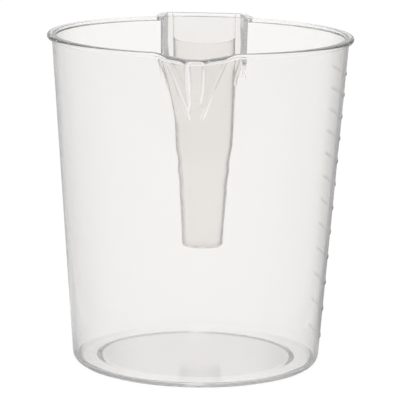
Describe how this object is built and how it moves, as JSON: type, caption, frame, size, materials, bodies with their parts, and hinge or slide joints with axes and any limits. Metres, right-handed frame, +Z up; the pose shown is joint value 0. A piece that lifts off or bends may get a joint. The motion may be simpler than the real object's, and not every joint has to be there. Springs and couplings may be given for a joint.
{
  "type": "baby formula pitcher",
  "caption": "Tall tapered translucent plastic measuring pitcher with a V-shaped pouring spout, a hollow hanging handle and raised volume marks up one side.",
  "frame": {"origin": "centre of the foot ring on the table", "axes": "+Z up along the jug's axis, spout towards -Y, handle towards +Y, graduations start at +X"},
  "size_m": [0.1288, 0.1817, 0.14],
  "materials": {
    "clear_plastic": "gloss, natural translucent polypropylene",
    "graduation_plastic": "raised marks in the same translucent polypropylene"
  },
  "bodies": {
    "root": {"body_wall": "clear_plastic", "base_panel": "clear_plastic", "foot_ring": "clear_plastic", "rim_flange": "clear_plastic", "pour_spout": "clear_plastic", "spout_lip": "clear_plastic", "handle_strap": "clear_plastic", "handle_finger_wall": "clear_plastic", "handle_end_cap": "clear_plastic", "handle_rim": "clear_plastic", "handle_gusset_left": "clear_plastic", "handle_gusset_right": "clear_plastic", "graduation_ticks": "graduation_plastic"}
  },
  "joints": []
}
